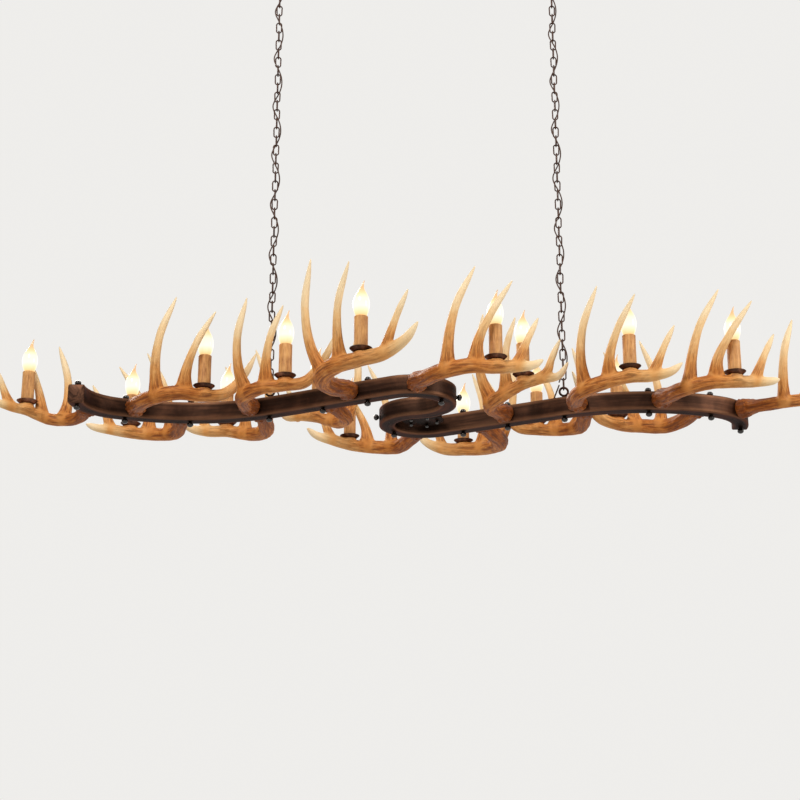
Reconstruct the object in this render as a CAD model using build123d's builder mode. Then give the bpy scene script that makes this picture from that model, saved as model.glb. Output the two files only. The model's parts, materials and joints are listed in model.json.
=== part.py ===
from build123d import *
from math import atan2, cos, degrees, pi, radians, sin
import os

os.makedirs("parts", exist_ok=True)

# Antler chandelier: sixteen resin antlers with candle lamps on an S-shaped iron tube,
# hung from the ceiling by two chains.
# X runs to the right along the frame, Y away from the viewer, Z up.
# The origin is on the ceiling, midway between the two canopies.

# Chain
chain_half_span = 314.0
wire_radius = 1.6
link_half_width = 5.9
link_pitch = 22.0
link_gap = 0.3
chain_links = 44
wire_sides = 4
link_flats = 8
ring_flats = 12
ring_wire_sides = 6

# Canopy, crossbar and hanging loop
canopy_radius = 56.0
canopy_depth = 32.0
canopy_wall = 1.5
canopy_sides = 12
canopy_hole_reach = 20.0
crossbar_length = 92.0
crossbar_width = 22.0
crossbar_thickness = 3.0
ceiling_hole_radius = 2.5
ceiling_hole_spacing = 70.0
stem_radius = 5.0
stem_fit = 0.2
collar_radius = 9.0
collar_height = 8.0
collar_sides = 6
loop_radius = 10.5
loop_wire_radius = 2.5

# Eye bolt on the frame
eye_radius = 9.0
eye_wire_radius = 2.5
eye_neck = 4.0
eye_neck_radius = 6.0
eye_neck_sides = 8

# S-shaped tube
bar_width = 34.0
bar_height = 40.0
bar_wall = 2.5
scroll_radius = 78.0
scroll_turn = 199.0
run_length = 286.0
wing_radius = 373.0
wing_turn = 54.0
hook_radius = 116.0
hook_turn = 65.0
cap_thickness = 4.0
lead_reach = 23.0
lead_hole_fit = 0.6

# Studs with ball cap nuts
stud_radius = 3.0
stud_fit = 0.2
end_stud_inset = 10.0
shaft_sides = 4
nut_radius = 7.0
nut_height = 12.0
nut_sides = 5
side_stud_station = 106.0
side_nut_height = 5.0
side_nut_gap = 0.2

# Junction box in the back scroll
box_radius = 42.0
box_sides = 18
box_height = 24.0
cover_radius = 46.0
cover_thickness = 2.0
strap_width = 26.0
strap_thickness = 4.0
strap_overlap = 24.0
cover_nut_radius = 4.5
cover_nut_height = 8.0
cover_nut_circle = 31.0
cover_nut_count = 5

# Antler casting, for a size of 1
seat_radius = 21.0
seat_gap = 0.05
burr_length = 12.0
beam_radius = 15.5
tine_radius = 11.0
beam_sides = 6
tine_sides = 5
tip_radius = 1.6
flatness = 0.000001
candle_along = 124.0
candle_out = 147.0
candle_rise = 15.0

# Candle
boss_radius = 15.0
boss_sides = 6
pan_radius = 23.0
pan_height = 7.0
pan_wall = 1.5
pan_ledge = 3.0
sleeve_radius = 14.0
sleeve_wall = 1.8
sleeve_height = 70.0
socket_radius = 10.5
socket_height = 40.0
bulb_radius = 17.0
bulb_height = 76.0
bulb_neck_radius = 8.0
candle_sides = 6
bulb_sides = 6
pipe_radius = 4.5

# Cord along the chain
cord_radius = 1.5
cord_clearance = 0.5
cord_turn_height = 122.0
cord_angle = 155.0
cord_top_drop = 7.0
cord_bottom_rise = 18.0
cord_end_gap = 6.0
cord_turn_steps = 9
cord_sides = 4

# Levels that follow from the sizes above
link_length = link_pitch + 2 * wire_radius + link_gap
loop_wire_level = -canopy_depth - collar_height - 2 * loop_radius
top_link_upper = loop_wire_level + loop_wire_radius + wire_radius + link_gap
chain_pivot_level = top_link_upper - link_length
chain_top = chain_pivot_level + 2 * wire_radius + link_gap
frame_pivot_level = chain_top - (chain_links - 1) * link_pitch - link_length
eye_centre_level = frame_pivot_level + wire_radius + eye_wire_radius + link_gap - eye_radius
bar_top = eye_centre_level - eye_radius - eye_wire_radius - eye_neck
bar_bottom = bar_top - bar_height
bar_middle = bar_bottom + bar_height / 2
print("underside of the frame at", round(bar_bottom, 1), "frame pivot", round(frame_pivot_level, 1))
print("chain pivot", round(chain_pivot_level, 1), "loop wire", round(loop_wire_level, 1))


def save(piece, label):
    piece.label = label
    export_step(piece, f"parts/{label}.step")


def half_turned(shape):
    """The same shape turned half a turn about the frame's upright axis."""
    return shape.rotate(Axis.Z, 180)


def save_both(shape, label):
    """One node with the right-hand shape and its half-turned twin."""
    with BuildPart() as pair:
        add([shape, half_turned(shape)])
    save(pair.part, label)


# Centreline of the right half of the S, from its middle out to the right end
def half_edges(offset, heading):
    """Edges of the half route, moved sideways to the left of its direction by offset."""
    start_direction = Vector(cos(radians(heading)), sin(radians(heading)))
    left = Vector(-start_direction.Y, start_direction.X)
    scroll = JernArc(left * offset, start_direction, scroll_radius + offset, -scroll_turn)
    run = Line(scroll @ 1, scroll @ 1 + (scroll % 1) * run_length)
    wing = JernArc(run @ 1, run % 1, wing_radius - offset, wing_turn)
    hook = JernArc(wing @ 1, wing % 1, hook_radius - offset, hook_turn)
    return [scroll, run, wing, hook]


def half_plan(half_width):
    """Flat outline of the right half of the S with the given half width."""
    with BuildSketch() as plan:
        with BuildLine():
            left = half_edges(half_width, scroll_heading)
            right = half_edges(-half_width, scroll_heading)
            Line(left[0] @ 0, right[0] @ 0)
            Line(left[3] @ 1, right[3] @ 1)
        make_face()
    return plan.sketch


# Distances along the tube at which its scroll, run and wing end
scroll_end = radians(scroll_turn) * scroll_radius
run_end = scroll_end + run_length
wing_end = run_end + radians(wing_turn) * wing_radius

# The station above which a chain hangs: there the tube is the chains' half span from the middle
with BuildLine(mode=Mode.PRIVATE) as unturned_route:
    half_edges(0, 0)
unturned = unturned_route.wire()
stations = range(round(scroll_end), round(wing_end))
eye_station = min(stations, key=lambda s: abs((unturned @ (s / unturned.length)).length - chain_half_span))

# The S is turned so that those points lie on the X axis, under the chains
unturned_eye = unturned @ (eye_station / unturned.length)
scroll_heading = -degrees(atan2(unturned_eye.Y, unturned_eye.X))
with BuildLine(mode=Mode.PRIVATE) as half_route:
    half_edges(0, scroll_heading)
route = half_route.wire()
route_length = route.length
print("heading", round(scroll_heading, 2), "eye station", eye_station, "scroll end", round(scroll_end, 1))
print("half route", round(route_length, 1), "ends at", route @ 1)


def on_route(station):
    """Point and direction of the centreline at a distance from the middle of the S."""
    return route @ (station / route_length), route % (station / route_length)


# Antlers of the right half, in order along the tube from the middle of the S.
# Each row: name of the pair, station along the tube, sweep (1 in front, towards the end;
# -1 behind, towards the middle), size, yaw in degrees, number of points, height of the beam at
# the candle, its rise past the candle, lift of its tip, and lean of the tines along the sweep.
antler_rows = [
    ("a", scroll_end - 49, -1, 1.00, 6.0, 4, -3.0, 4.0, 14.0, 30.0),
    ("b", scroll_end + 91, -1, 1.13, -4.0, 4, -1.0, 4.0, 40.0, -25.0),
    ("c", run_end - 117, 1, 0.90, -2.0, 4, 16.0, 24.0, 44.0, -20.0),
    ("d", run_end + 50, 1, 1.00, 8.0, 4, 5.0, 6.0, 20.0, 15.0),
    ("e", run_end + 49, -1, 0.95, 8.0, 3, -2.0, 4.0, 110.0, -12.0),
    ("f", run_end + 217, 1, 0.96, 0.0, 4, -2.0, 2.0, 0.0, 45.0),
    ("g", wing_end - 36, -1, 1.00, -4.0, 3, -6.0, 2.0, 90.0, 8.0),
    ("h", wing_end + 47, 1, 0.84, -18.0, 4, 8.0, 10.0, 24.0, -6.0),
]


def seat_plane(station, sweep):
    """Plane at the tube's face: X along the sweep, Z up, and the antler on the -Y side."""
    point, direction = on_route(station)
    along = Vector(direction.X, direction.Y) * sweep
    outward = Vector(along.Y, -along.X)
    face = Vector(point.X, point.Y, bar_middle) + outward * (bar_width / 2)
    return Plane(origin=face, x_dir=along, z_dir=(0, 0, 1))


def across(plane):
    """Plane with the same origin that faces the seat, for shapes that run square to the tube."""
    return Plane(origin=plane.origin, x_dir=plane.x_dir, z_dir=-plane.y_dir)


def both_ways(points):
    """The points and their half-turned twins."""
    return [(p.X, p.Y) for p in points] + [(-p.X, -p.Y) for p in points]


# Seats on the hollow side of a wing stand off by the hollow's depth under the seat
hollow_depth = seat_radius**2 / (2 * (wing_radius - bar_width / 2)) + seat_gap
side_seat = seat_plane(side_stud_station, -1)
eye_point = Vector(chain_half_span, 0)
stud_stations = [scroll_end - 112, scroll_end + 59, run_end - 119, run_end + 194, wing_end - 18]
stud_stations.append(route_length - end_stud_inset)
stud_points = [on_route(station)[0] for station in stud_stations]
lead_point = on_route(eye_station - lead_reach)[0]
scroll_centre = Vector(sin(radians(scroll_heading)), -cos(radians(scroll_heading))) * scroll_radius

# Hole of the side stud, which runs square to the tube
with BuildPart() as side_hole:
    with BuildSketch(across(side_seat)):
        RegularPolygon(stud_radius + stud_fit, shaft_sides)
    extrude(amount=-bar_width)

# The hollow tube
with BuildPart() as frame_tube:
    with BuildSketch(Plane.XY.offset(bar_bottom)):
        add(half_plan(bar_width / 2))
        add(half_turned(half_plan(bar_width / 2)))
    extrude(amount=bar_height)
    with BuildSketch(Plane.XY.offset(bar_bottom + bar_wall)):
        add(half_plan(bar_width / 2 - bar_wall))
        add(half_turned(half_plan(bar_width / 2 - bar_wall)))
    extrude(amount=bar_height - 2 * bar_wall, mode=Mode.SUBTRACT)
    with BuildSketch(Plane.XY.offset(bar_bottom)):
        with Locations(*both_ways(stud_points + [eye_point])):
            RegularPolygon(stud_radius + stud_fit, shaft_sides)
    extrude(amount=bar_height, mode=Mode.SUBTRACT)
    with BuildSketch(Plane.XY.offset(bar_top - bar_wall)):
        with Locations(*both_ways([lead_point])):
            RegularPolygon(cord_radius + lead_hole_fit, shaft_sides)
    extrude(amount=bar_wall, mode=Mode.SUBTRACT)
    add(side_hole.part, mode=Mode.SUBTRACT)
    add(half_turned(side_hole.part), mode=Mode.SUBTRACT)
save(frame_tube.part, "frame_tube")

# Plates that close the two ends of the tube
with BuildPart() as end_caps:
    end_point, end_direction = on_route(route_length)
    along = Vector(end_direction.X, end_direction.Y)
    cap_x = Vector(-along.Y, along.X)
    with BuildSketch(Plane((end_point.X, end_point.Y, bar_middle), x_dir=cap_x, z_dir=along)):
        Rectangle(bar_width, bar_height)
    extrude(amount=cap_thickness)
    add(half_turned(end_caps.part))
save(end_caps.part, "end_caps")

def polygon_ring(plane, radius, sides):
    """Corners of a regular polygon on a plane."""
    turns = [2 * pi / sides * step for step in range(sides)]
    return [plane.from_local_coords(Vector(radius * cos(t), radius * sin(t))) for t in turns]


def flat_sided(rings):
    """Closed solid through rings of corners; a side that isn't flat becomes two triangles."""
    faces = [Face(Wire.make_polygon(rings[0])), Face(Wire.make_polygon(rings[-1]))]
    for lower, upper in zip(rings, rings[1:]):
        for step in range(len(lower)):
            a, b, c, d = lower[step - 1], lower[step], upper[step], upper[step - 1]
            off_plane = (b - a).cross(d - a).normalized().dot(c - a)
            if abs(off_plane) < flatness:
                faces.append(Face(Wire.make_polygon([a, b, c, d])))
            else:
                faces.append(Face(Wire.make_polygon([a, b, c])))
                faces.append(Face(Wire.make_polygon([a, c, d])))
    return Solid(Shell(faces))


def upright_stack(rings, sides):
    """Many-sided solid on the XY plane; each ring gives level, radius and sideways shift."""
    corner_rings = [polygon_ring(Plane((shift, 0, level)), radius, sides) for level, radius, shift in rings]
    return flat_sided(corner_rings)


def ball_nut(radius, height):
    """Rounded cap nut that stands on the XY plane."""
    rings = [(0, 0.6), (0.42, 1), (1, 0.4)]
    return upright_stack([(level * height, share * radius, 0) for level, share in rings], nut_sides)


# Through studs, each with a ball nut under and over the tube
with BuildPart() as studs:
    with BuildSketch(Plane.XY.offset(bar_bottom)):
        with Locations(*both_ways(stud_points)):
            RegularPolygon(stud_radius, shaft_sides)
    extrude(amount=bar_height)
    with BuildSketch(across(side_seat)):
        RegularPolygon(stud_radius, shaft_sides)
    side_stud = extrude(amount=-bar_width, mode=Mode.PRIVATE)
    add(side_stud)
    add(half_turned(side_stud))
save(studs.part, "studs")

with BuildPart() as ball_nuts:
    nut_shape = ball_nut(nut_radius, nut_height)
    with Locations(*[Location((x, y, bar_top)) for x, y in both_ways(stud_points)]):
        add(nut_shape)
    under_points = both_ways(stud_points + [eye_point])
    with Locations(*[Location((x, y, bar_bottom), (180, 0, 0)) for x, y in under_points]):
        add(nut_shape)
    side_nut = nut_shape.moved(across(side_seat).offset(side_nut_gap).location)
    inner_foot = side_seat.origin + side_seat.y_dir * (bar_width + side_nut_gap)
    inner_nut_place = Plane(inner_foot, z_dir=side_seat.y_dir).location
    inner_nut = ball_nut(nut_radius, side_nut_height).moved(inner_nut_place)
    add([side_nut, inner_nut, half_turned(side_nut), half_turned(inner_nut)])
save(ball_nuts.part, "ball_nuts")

# Junction box in the back scroll, hung from a strap that lies on the tube
centre = (scroll_centre.X, scroll_centre.Y)
strap_length = 2 * scroll_radius - bar_width + 2 * strap_overlap
strap_screw_reach = scroll_radius
with BuildPart() as box_strap:
    with BuildSketch(Plane.XY.offset(bar_top)):
        with Locations(centre):
            Rectangle(strap_width, strap_length)
            with Locations((0, strap_screw_reach), (0, -strap_screw_reach)):
                RegularPolygon(stud_radius + stud_fit, shaft_sides, mode=Mode.SUBTRACT)
    extrude(amount=strap_thickness)
save(box_strap.part, "box_strap")

with BuildPart() as junction_box:
    with BuildSketch(Plane.XY.offset(bar_top - box_height)):
        with Locations(centre):
            RegularPolygon(box_radius, box_sides)
    extrude(amount=box_height)
save(junction_box.part, "junction_box")

with BuildPart() as junction_cover:
    with BuildSketch(Plane.XY.offset(bar_top - box_height - cover_thickness)):
        with Locations(centre):
            RegularPolygon(cover_radius, box_sides)
    extrude(amount=cover_thickness)
save(junction_cover.part, "junction_cover")

with BuildPart() as cover_nuts:
    cover_nut_shape = ball_nut(cover_nut_radius, cover_nut_height)
    cover_level = bar_top - box_height - cover_thickness
    for index in range(cover_nut_count):
        turn = radians(360 / cover_nut_count * index)
        x = centre[0] + cover_nut_circle * cos(turn)
        y = centre[1] + cover_nut_circle * sin(turn)
        add(cover_nut_shape.moved(Location((x, y, cover_level), (180, 0, 0))))
save(cover_nuts.part, "cover_nuts")

# Screws that hold the strap on the tube, and the box on the strap
with BuildPart() as strap_screws:
    for side in (strap_screw_reach, -strap_screw_reach):
        x, y = centre[0], centre[1] + side
        with BuildSketch(Plane.XY.offset(bar_top)):
            with Locations((x, y)):
                RegularPolygon(stud_radius, shaft_sides)
        extrude(amount=strap_thickness)
        add(nut_shape.moved(Location((x, y, bar_top + strap_thickness))))
save(strap_screws.part, "strap_screws")


def tapered_branch(points, radii, sides, reference):
    """Many-sided branch whose sections stand across a bent line through the points."""
    rings = []
    for index, radius in enumerate(radii):
        before = Vector(*points[max(index - 1, 0)])
        after = Vector(*points[min(index + 1, len(points) - 1)])
        direction = (after - before).normalized()
        sideways = direction.cross(reference).normalized()
        plane = Plane(points[index], x_dir=sideways, z_dir=direction)
        rings.append(polygon_ring(plane, radius, sides))
    return flat_sided(rings)


def casting_spot(size, yaw, along, out, level):
    """Point of a casting in its seat plane, turned by the yaw about the seat and scaled."""
    turn = radians(yaw)
    x = along * cos(turn) + out * sin(turn)
    y = along * sin(turn) - out * cos(turn)
    return (x * size, y * size, level * size)


def antler_casting(size, yaw, point_count, carry, rise, tip_lift, lean):
    """One antler in its seat plane: a beam with upright tines and a boss for the candle."""

    def spot(along, out, level):
        return casting_spot(size, yaw, along, out, level)

    beam_points = [(0, 0, 0), (0, -burr_length, 0)]
    beam_points += [spot(3, 56, -6), spot(22, 118, -10), spot(66, 148, -5)]
    beam_points += [spot(candle_along, candle_out, carry), spot(165, 140, rise)]
    beam_points += [spot(207, 134, 6 + tip_lift * 0.45), spot(226 + 0.1 * tip_lift, 130, 12 + tip_lift)]
    beam_shares = [1.04, 1.0, 0.97, 0.84, 0.82, 0.55]
    beam_radii = [0.94 * seat_radius, seat_radius] + [beam_radius * size * share for share in beam_shares]
    beam_radii.append(tip_radius)
    tines = [
        [spot(30, 128, -6), spot(20 + 0.3 * lean, 142, 45), spot(22 + 0.6 * lean, 152, 110)],
        [spot(82, 148, -3), spot(84, 160, 40), spot(98 + 0.3 * lean, 170, 96)],
    ]
    tines[0].append(spot(50 + lean, 162, 200))
    tines[1].append(spot(134 + 0.6 * lean, 178, 170))
    if point_count > 3:
        tines.append([spot(168, 140, rise), spot(180, 142, 34), spot(194, 142, 66), spot(216, 140, 110)])
    with BuildPart() as casting:
        add(tapered_branch(beam_points, beam_radii, beam_sides, Vector(0, 0, 1)))
        for order, tine in enumerate(tines):
            root = tine_radius * (1 - 0.1 * order)
            radii = [root, root * 0.9, root * 0.74, tip_radius]
            add(tapered_branch(tine, radii, tine_sides, Vector(0, 1, 0)))
        boss_x, boss_y, boss_foot = spot(candle_along, candle_out, carry)
        with BuildSketch(Plane.XY.offset(boss_foot)):
            with Locations((boss_x, boss_y)):
                RegularPolygon(boss_radius, boss_sides)
        extrude(amount=candle_rise)
    return casting.part


# Antlers of the right half with their half-turned twins, and the places of their candles
candle_places = []
for name, station, facing, size, yaw, point_count, carry, rise, tip_lift, lean in antler_rows:
    seat = seat_plane(station, facing)
    in_hollow = facing < 0 and station > run_end
    stand_off = hollow_depth if in_hollow else seat_gap
    seat = Plane(seat.from_local_coords(Vector(0, -stand_off, 0)), x_dir=seat.x_dir, z_dir=seat.z_dir)
    antler = antler_casting(size, yaw, point_count, carry, rise, tip_lift, lean).moved(seat.location)
    save(antler, f"antler_{name}_right")
    save(half_turned(antler), f"antler_{name}_left")
    boss_foot = Vector(*casting_spot(size, yaw, candle_along, candle_out, carry))
    place = seat.from_local_coords(boss_foot + Vector(0, 0, candle_rise))
    candle_places.append((name + "_right", Location((place.X, place.Y, place.Z))))
    candle_places.append((name + "_left", Location((-place.X, -place.Y, place.Z))))


# Drip pan: a shallow dish with a sloping wall and a hole for the threaded pipe
pan_floor_radius = sleeve_radius + pan_ledge
with BuildPart() as pan_shape:
    add(upright_stack([(0, pan_floor_radius, 0), (pan_height, pan_radius, 0)], candle_sides))
    inside = [(pan_wall, pan_floor_radius - pan_wall, 0), (pan_height, pan_radius - pan_wall, 0)]
    add(upright_stack(inside, candle_sides), mode=Mode.SUBTRACT)
    with BuildSketch(Plane.XY):
        RegularPolygon(pipe_radius + stud_fit, shaft_sides)
    extrude(amount=pan_wall, mode=Mode.SUBTRACT)

# Sleeve that imitates a wax candle, standing in the pan
with BuildPart() as sleeve_shape:
    with BuildSketch(Plane.XY.offset(pan_wall)):
        RegularPolygon(sleeve_radius, candle_sides)
        RegularPolygon(sleeve_radius - sleeve_wall, candle_sides, mode=Mode.SUBTRACT)
    extrude(amount=sleeve_height)

# Threaded pipe from the antler's boss through the pan up to the socket
socket_bottom = pan_wall + sleeve_height - socket_height
with BuildPart() as pipe_shape:
    with BuildSketch(Plane.XY):
        RegularPolygon(pipe_radius, shaft_sides)
    extrude(amount=socket_bottom)

# Lamp socket, which carries the bulb at the sleeve's mouth
with BuildPart() as socket_shape:
    with BuildSketch(Plane.XY.offset(socket_bottom)):
        RegularPolygon(socket_radius, shaft_sides)
    extrude(amount=socket_height)

# Flame-shaped bulb with a bent tip, standing on the socket
bulb_foot = pan_wall + sleeve_height
bulb_rings = [(0, bulb_neck_radius, 0), (0.16 * bulb_height, 0.72 * bulb_radius, 0)]
bulb_rings += [(0.38 * bulb_height, bulb_radius, 0), (0.62 * bulb_height, 0.74 * bulb_radius, 0)]
bulb_rings += [(0.82 * bulb_height, 0.34 * bulb_radius, 1.5), (bulb_height, 0.07 * bulb_radius, 6)]
with BuildPart() as bulb_shape:
    add(upright_stack(bulb_rings, bulb_sides).moved(Location((0, 0, bulb_foot))))


def on_every_candle(shape, label):
    """One node that holds a copy of the shape at every candle."""
    with BuildPart() as copies:
        with Locations(*[place for _, place in candle_places]):
            add(shape)
    save(copies.part, label)


on_every_candle(pan_shape.part, "drip_pans")
on_every_candle(sleeve_shape.part, "candle_sleeves")
on_every_candle(pipe_shape.part, "candle_pipes")
on_every_candle(socket_shape.part, "lamp_sockets")
for pair_name, place in candle_places:
    save(bulb_shape.part.moved(place), f"bulb_{pair_name}")


def oval_ring(half_width, half_length, radius, flats, sides):
    """Closed ring of many-sided wire in the XZ plane; its bends are made of flats, mitred."""
    corners = []
    for step in range(flats):
        turn = 2 * pi / flats * (step + 0.5)
        reach = half_width / cos(pi / flats)
        rise = half_length - half_width if turn < pi else half_width - half_length
        corners.append(Vector(reach * cos(turn), 0, reach * sin(turn) + rise))
    start = (corners[-1] + corners[0]) * 0.5
    with BuildPart() as ring:
        with BuildLine() as line:
            Polyline(start, *corners, start)
        with BuildSketch(Plane(start, x_dir=(1, 0, 0), z_dir=(0, 0, 1))):
            RegularPolygon(radius, sides)
        sweep(path=line.line, transition=Transition.RIGHT)
    return ring.part


# One chain link in the XZ plane, with its middle at the origin
link_shape = oval_ring(link_half_width, link_length / 2, wire_radius, link_flats, wire_sides)
print("link volume", round(link_shape.volume, 2), "valid", link_shape.is_valid)

# Link that joins the chain to the hanging loop, in the YZ plane
with BuildPart() as top_link:
    with Locations(Location((chain_half_span, 0, top_link_upper - link_length / 2), (0, 0, 90))):
        add(link_shape)
save(top_link.part, "top_link_right")
save(half_turned(top_link.part), "top_link_left")

# Chain: links by turns in the XZ and the YZ plane
chain_middles = [chain_top - link_length / 2 - index * link_pitch for index in range(chain_links)]
with BuildPart() as chain:
    places = []
    for index, level in enumerate(chain_middles):
        places.append(Location((chain_half_span, 0, level), (0, 0, 90 * (index % 2))))
    with Locations(*places):
        add(link_shape)
print("chain solids", len(chain.part.solids()))
save(chain.part, "chain_right")
save(half_turned(chain.part), "chain_left")

# Eye bolt: a ring on a neck, with a shank through the tube
with BuildPart() as eye_bolt:
    eye_ring = oval_ring(eye_radius, eye_radius, eye_wire_radius, ring_flats, ring_wire_sides)
    add(eye_ring.moved(Location((chain_half_span, 0, eye_centre_level))))
    with BuildSketch(Plane.XY.offset(bar_top)):
        with Locations((chain_half_span, 0)):
            RegularPolygon(eye_neck_radius, eye_neck_sides)
    extrude(amount=eye_neck + eye_wire_radius)
    with BuildSketch(Plane.XY.offset(bar_bottom)):
        with Locations((chain_half_span, 0)):
            RegularPolygon(stud_radius, shaft_sides)
    extrude(amount=bar_height)
save_both(eye_bolt.part, "eye_bolts")

# Crossbar on the ceiling, with two holes for ceiling screws and one for the stem
with BuildPart() as crossbar:
    with BuildSketch(Plane.XY.offset(-crossbar_thickness)):
        with Locations((chain_half_span, 0)):
            Rectangle(crossbar_width, crossbar_length)
            RegularPolygon(stem_radius + stem_fit, collar_sides, mode=Mode.SUBTRACT)
            with Locations((0, ceiling_hole_spacing / 2), (0, -ceiling_hole_spacing / 2)):
                Circle(ceiling_hole_radius, mode=Mode.SUBTRACT)
    extrude(amount=crossbar_thickness)
save_both(crossbar.part, "crossbars")

# Hanging loop: a ring under a collar, with a threaded stem up into the crossbar
with BuildPart() as hanging_loop:
    loop_ring = oval_ring(loop_radius, loop_radius, loop_wire_radius, ring_flats, ring_wire_sides)
    add(loop_ring.moved(Location((chain_half_span, 0, loop_wire_level + loop_radius))))
    with BuildSketch(Plane.XY.offset(-canopy_depth - collar_height)):
        with Locations((chain_half_span, 0)):
            RegularPolygon(collar_radius, collar_sides)
    extrude(amount=collar_height)
    with BuildSketch(Plane.XY.offset(-canopy_depth)):
        with Locations((chain_half_span, 0)):
            RegularPolygon(stem_radius, collar_sides)
    extrude(amount=canopy_depth)
save_both(hanging_loop.part, "hanging_loops")

# Route of the cord: it leaves the canopy beside the loop, winds along the chain in left-handed
# turns, and goes into the tube beside the eye
cord_orbit = link_half_width + wire_radius + cord_radius + cord_clearance
cord_side = Vector(cord_orbit * cos(radians(cord_angle)), cord_orbit * sin(radians(cord_angle)))
cord_top = loop_wire_level - cord_top_drop
cord_bottom = frame_pivot_level + cord_bottom_rise
cord_height = cord_top - cord_bottom
cord_turns = round(cord_height / cord_turn_height)
canopy_hole = Vector(chain_half_span - canopy_hole_reach, cord_side.Y + 1)

# Canopy: an open dish against the ceiling, with holes for the stem and the cord
dish_rings = [(0, canopy_radius), (-0.3 * canopy_depth, 0.97 * canopy_radius)]
dish_rings += [(-0.75 * canopy_depth, 0.72 * canopy_radius), (-canopy_depth, 0.3 * canopy_radius)]
with BuildPart() as canopy:
    outside = [(level, radius, 0) for level, radius in reversed(dish_rings)]
    inside = [(level + canopy_wall, radius - canopy_wall, 0) for level, radius, _ in outside]
    with Locations((chain_half_span, 0)):
        add(upright_stack(outside, canopy_sides))
        add(upright_stack(inside, canopy_sides), mode=Mode.SUBTRACT)
    with BuildSketch(Plane.XY.offset(-canopy_depth)):
        with Locations((chain_half_span, 0)):
            RegularPolygon(stem_radius + stem_fit, collar_sides)
        with Locations((canopy_hole.X, canopy_hole.Y)):
            RegularPolygon(cord_radius + lead_hole_fit, shaft_sides)
    extrude(amount=canopy_depth / 2, mode=Mode.SUBTRACT)
save_both(canopy.part, "canopies")

# Cord wound along the chain, from its foot up
cord_points = []
for step in range(cord_turns * cord_turn_steps + 1):
    share = step / (cord_turns * cord_turn_steps)
    turn = radians(cord_angle) - 2 * pi * cord_turns * share
    x = chain_half_span + cord_orbit * cos(turn)
    cord_points.append((x, cord_orbit * sin(turn), cord_bottom + cord_height * share))
cord = tapered_branch(cord_points, [cord_radius] * len(cord_points), cord_sides, Vector(0, 0, 1))
save(cord, "cord_right")
save(half_turned(cord), "cord_left")

# The wound cord's least gap to itself, between points at least half a turn apart
places = [Vector(*point) for point in cord_points]
skip = cord_turn_steps // 2
gaps = [(q - p).length for i, p in enumerate(places) for q in places[i + skip :]]
print("cord turns", cord_turns, "least gap to itself", round(min(gaps) - 2 * cord_radius, 1), "mm")

# Cord's short ends: out of the canopy, and into the tube
lead_end = Vector(chain_half_span, 0) + cord_side
upper_points = [
    (canopy_hole.X, canopy_hole.Y, -canopy_depth + canopy_wall),
    (canopy_hole.X, canopy_hole.Y, -canopy_depth - collar_height),
    (lead_end.X, lead_end.Y + 1, cord_top + cord_end_gap),
]
upper_lead = tapered_branch(upper_points, [cord_radius] * len(upper_points), cord_sides, Vector(0, 1, 0))
save_both(upper_lead, "cord_ends_ceiling")
lower_points = [
    (lead_point.X, lead_point.Y, bar_top - bar_wall),
    (lead_point.X, lead_point.Y, bar_top + eye_neck),
    (lead_end.X - eye_radius * 0.6, lead_end.Y + 3, frame_pivot_level - 2),
    (lead_end.X, lead_end.Y, cord_bottom - cord_end_gap),
]
lower_lead = tapered_branch(lower_points, [cord_radius] * len(lower_points), cord_sides, Vector(0, 1, 0))
save_both(lower_lead, "cord_ends_frame")
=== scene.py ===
# %% [markdown]
# An antler chandelier: an S-shaped iron tube carries sixteen cast antlers with candle lamps,
# and two chains hold it under the ceiling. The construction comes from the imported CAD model.
# This lesson dresses it: each shape is worked out with numpy on a grid, then painted with nodes.

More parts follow.
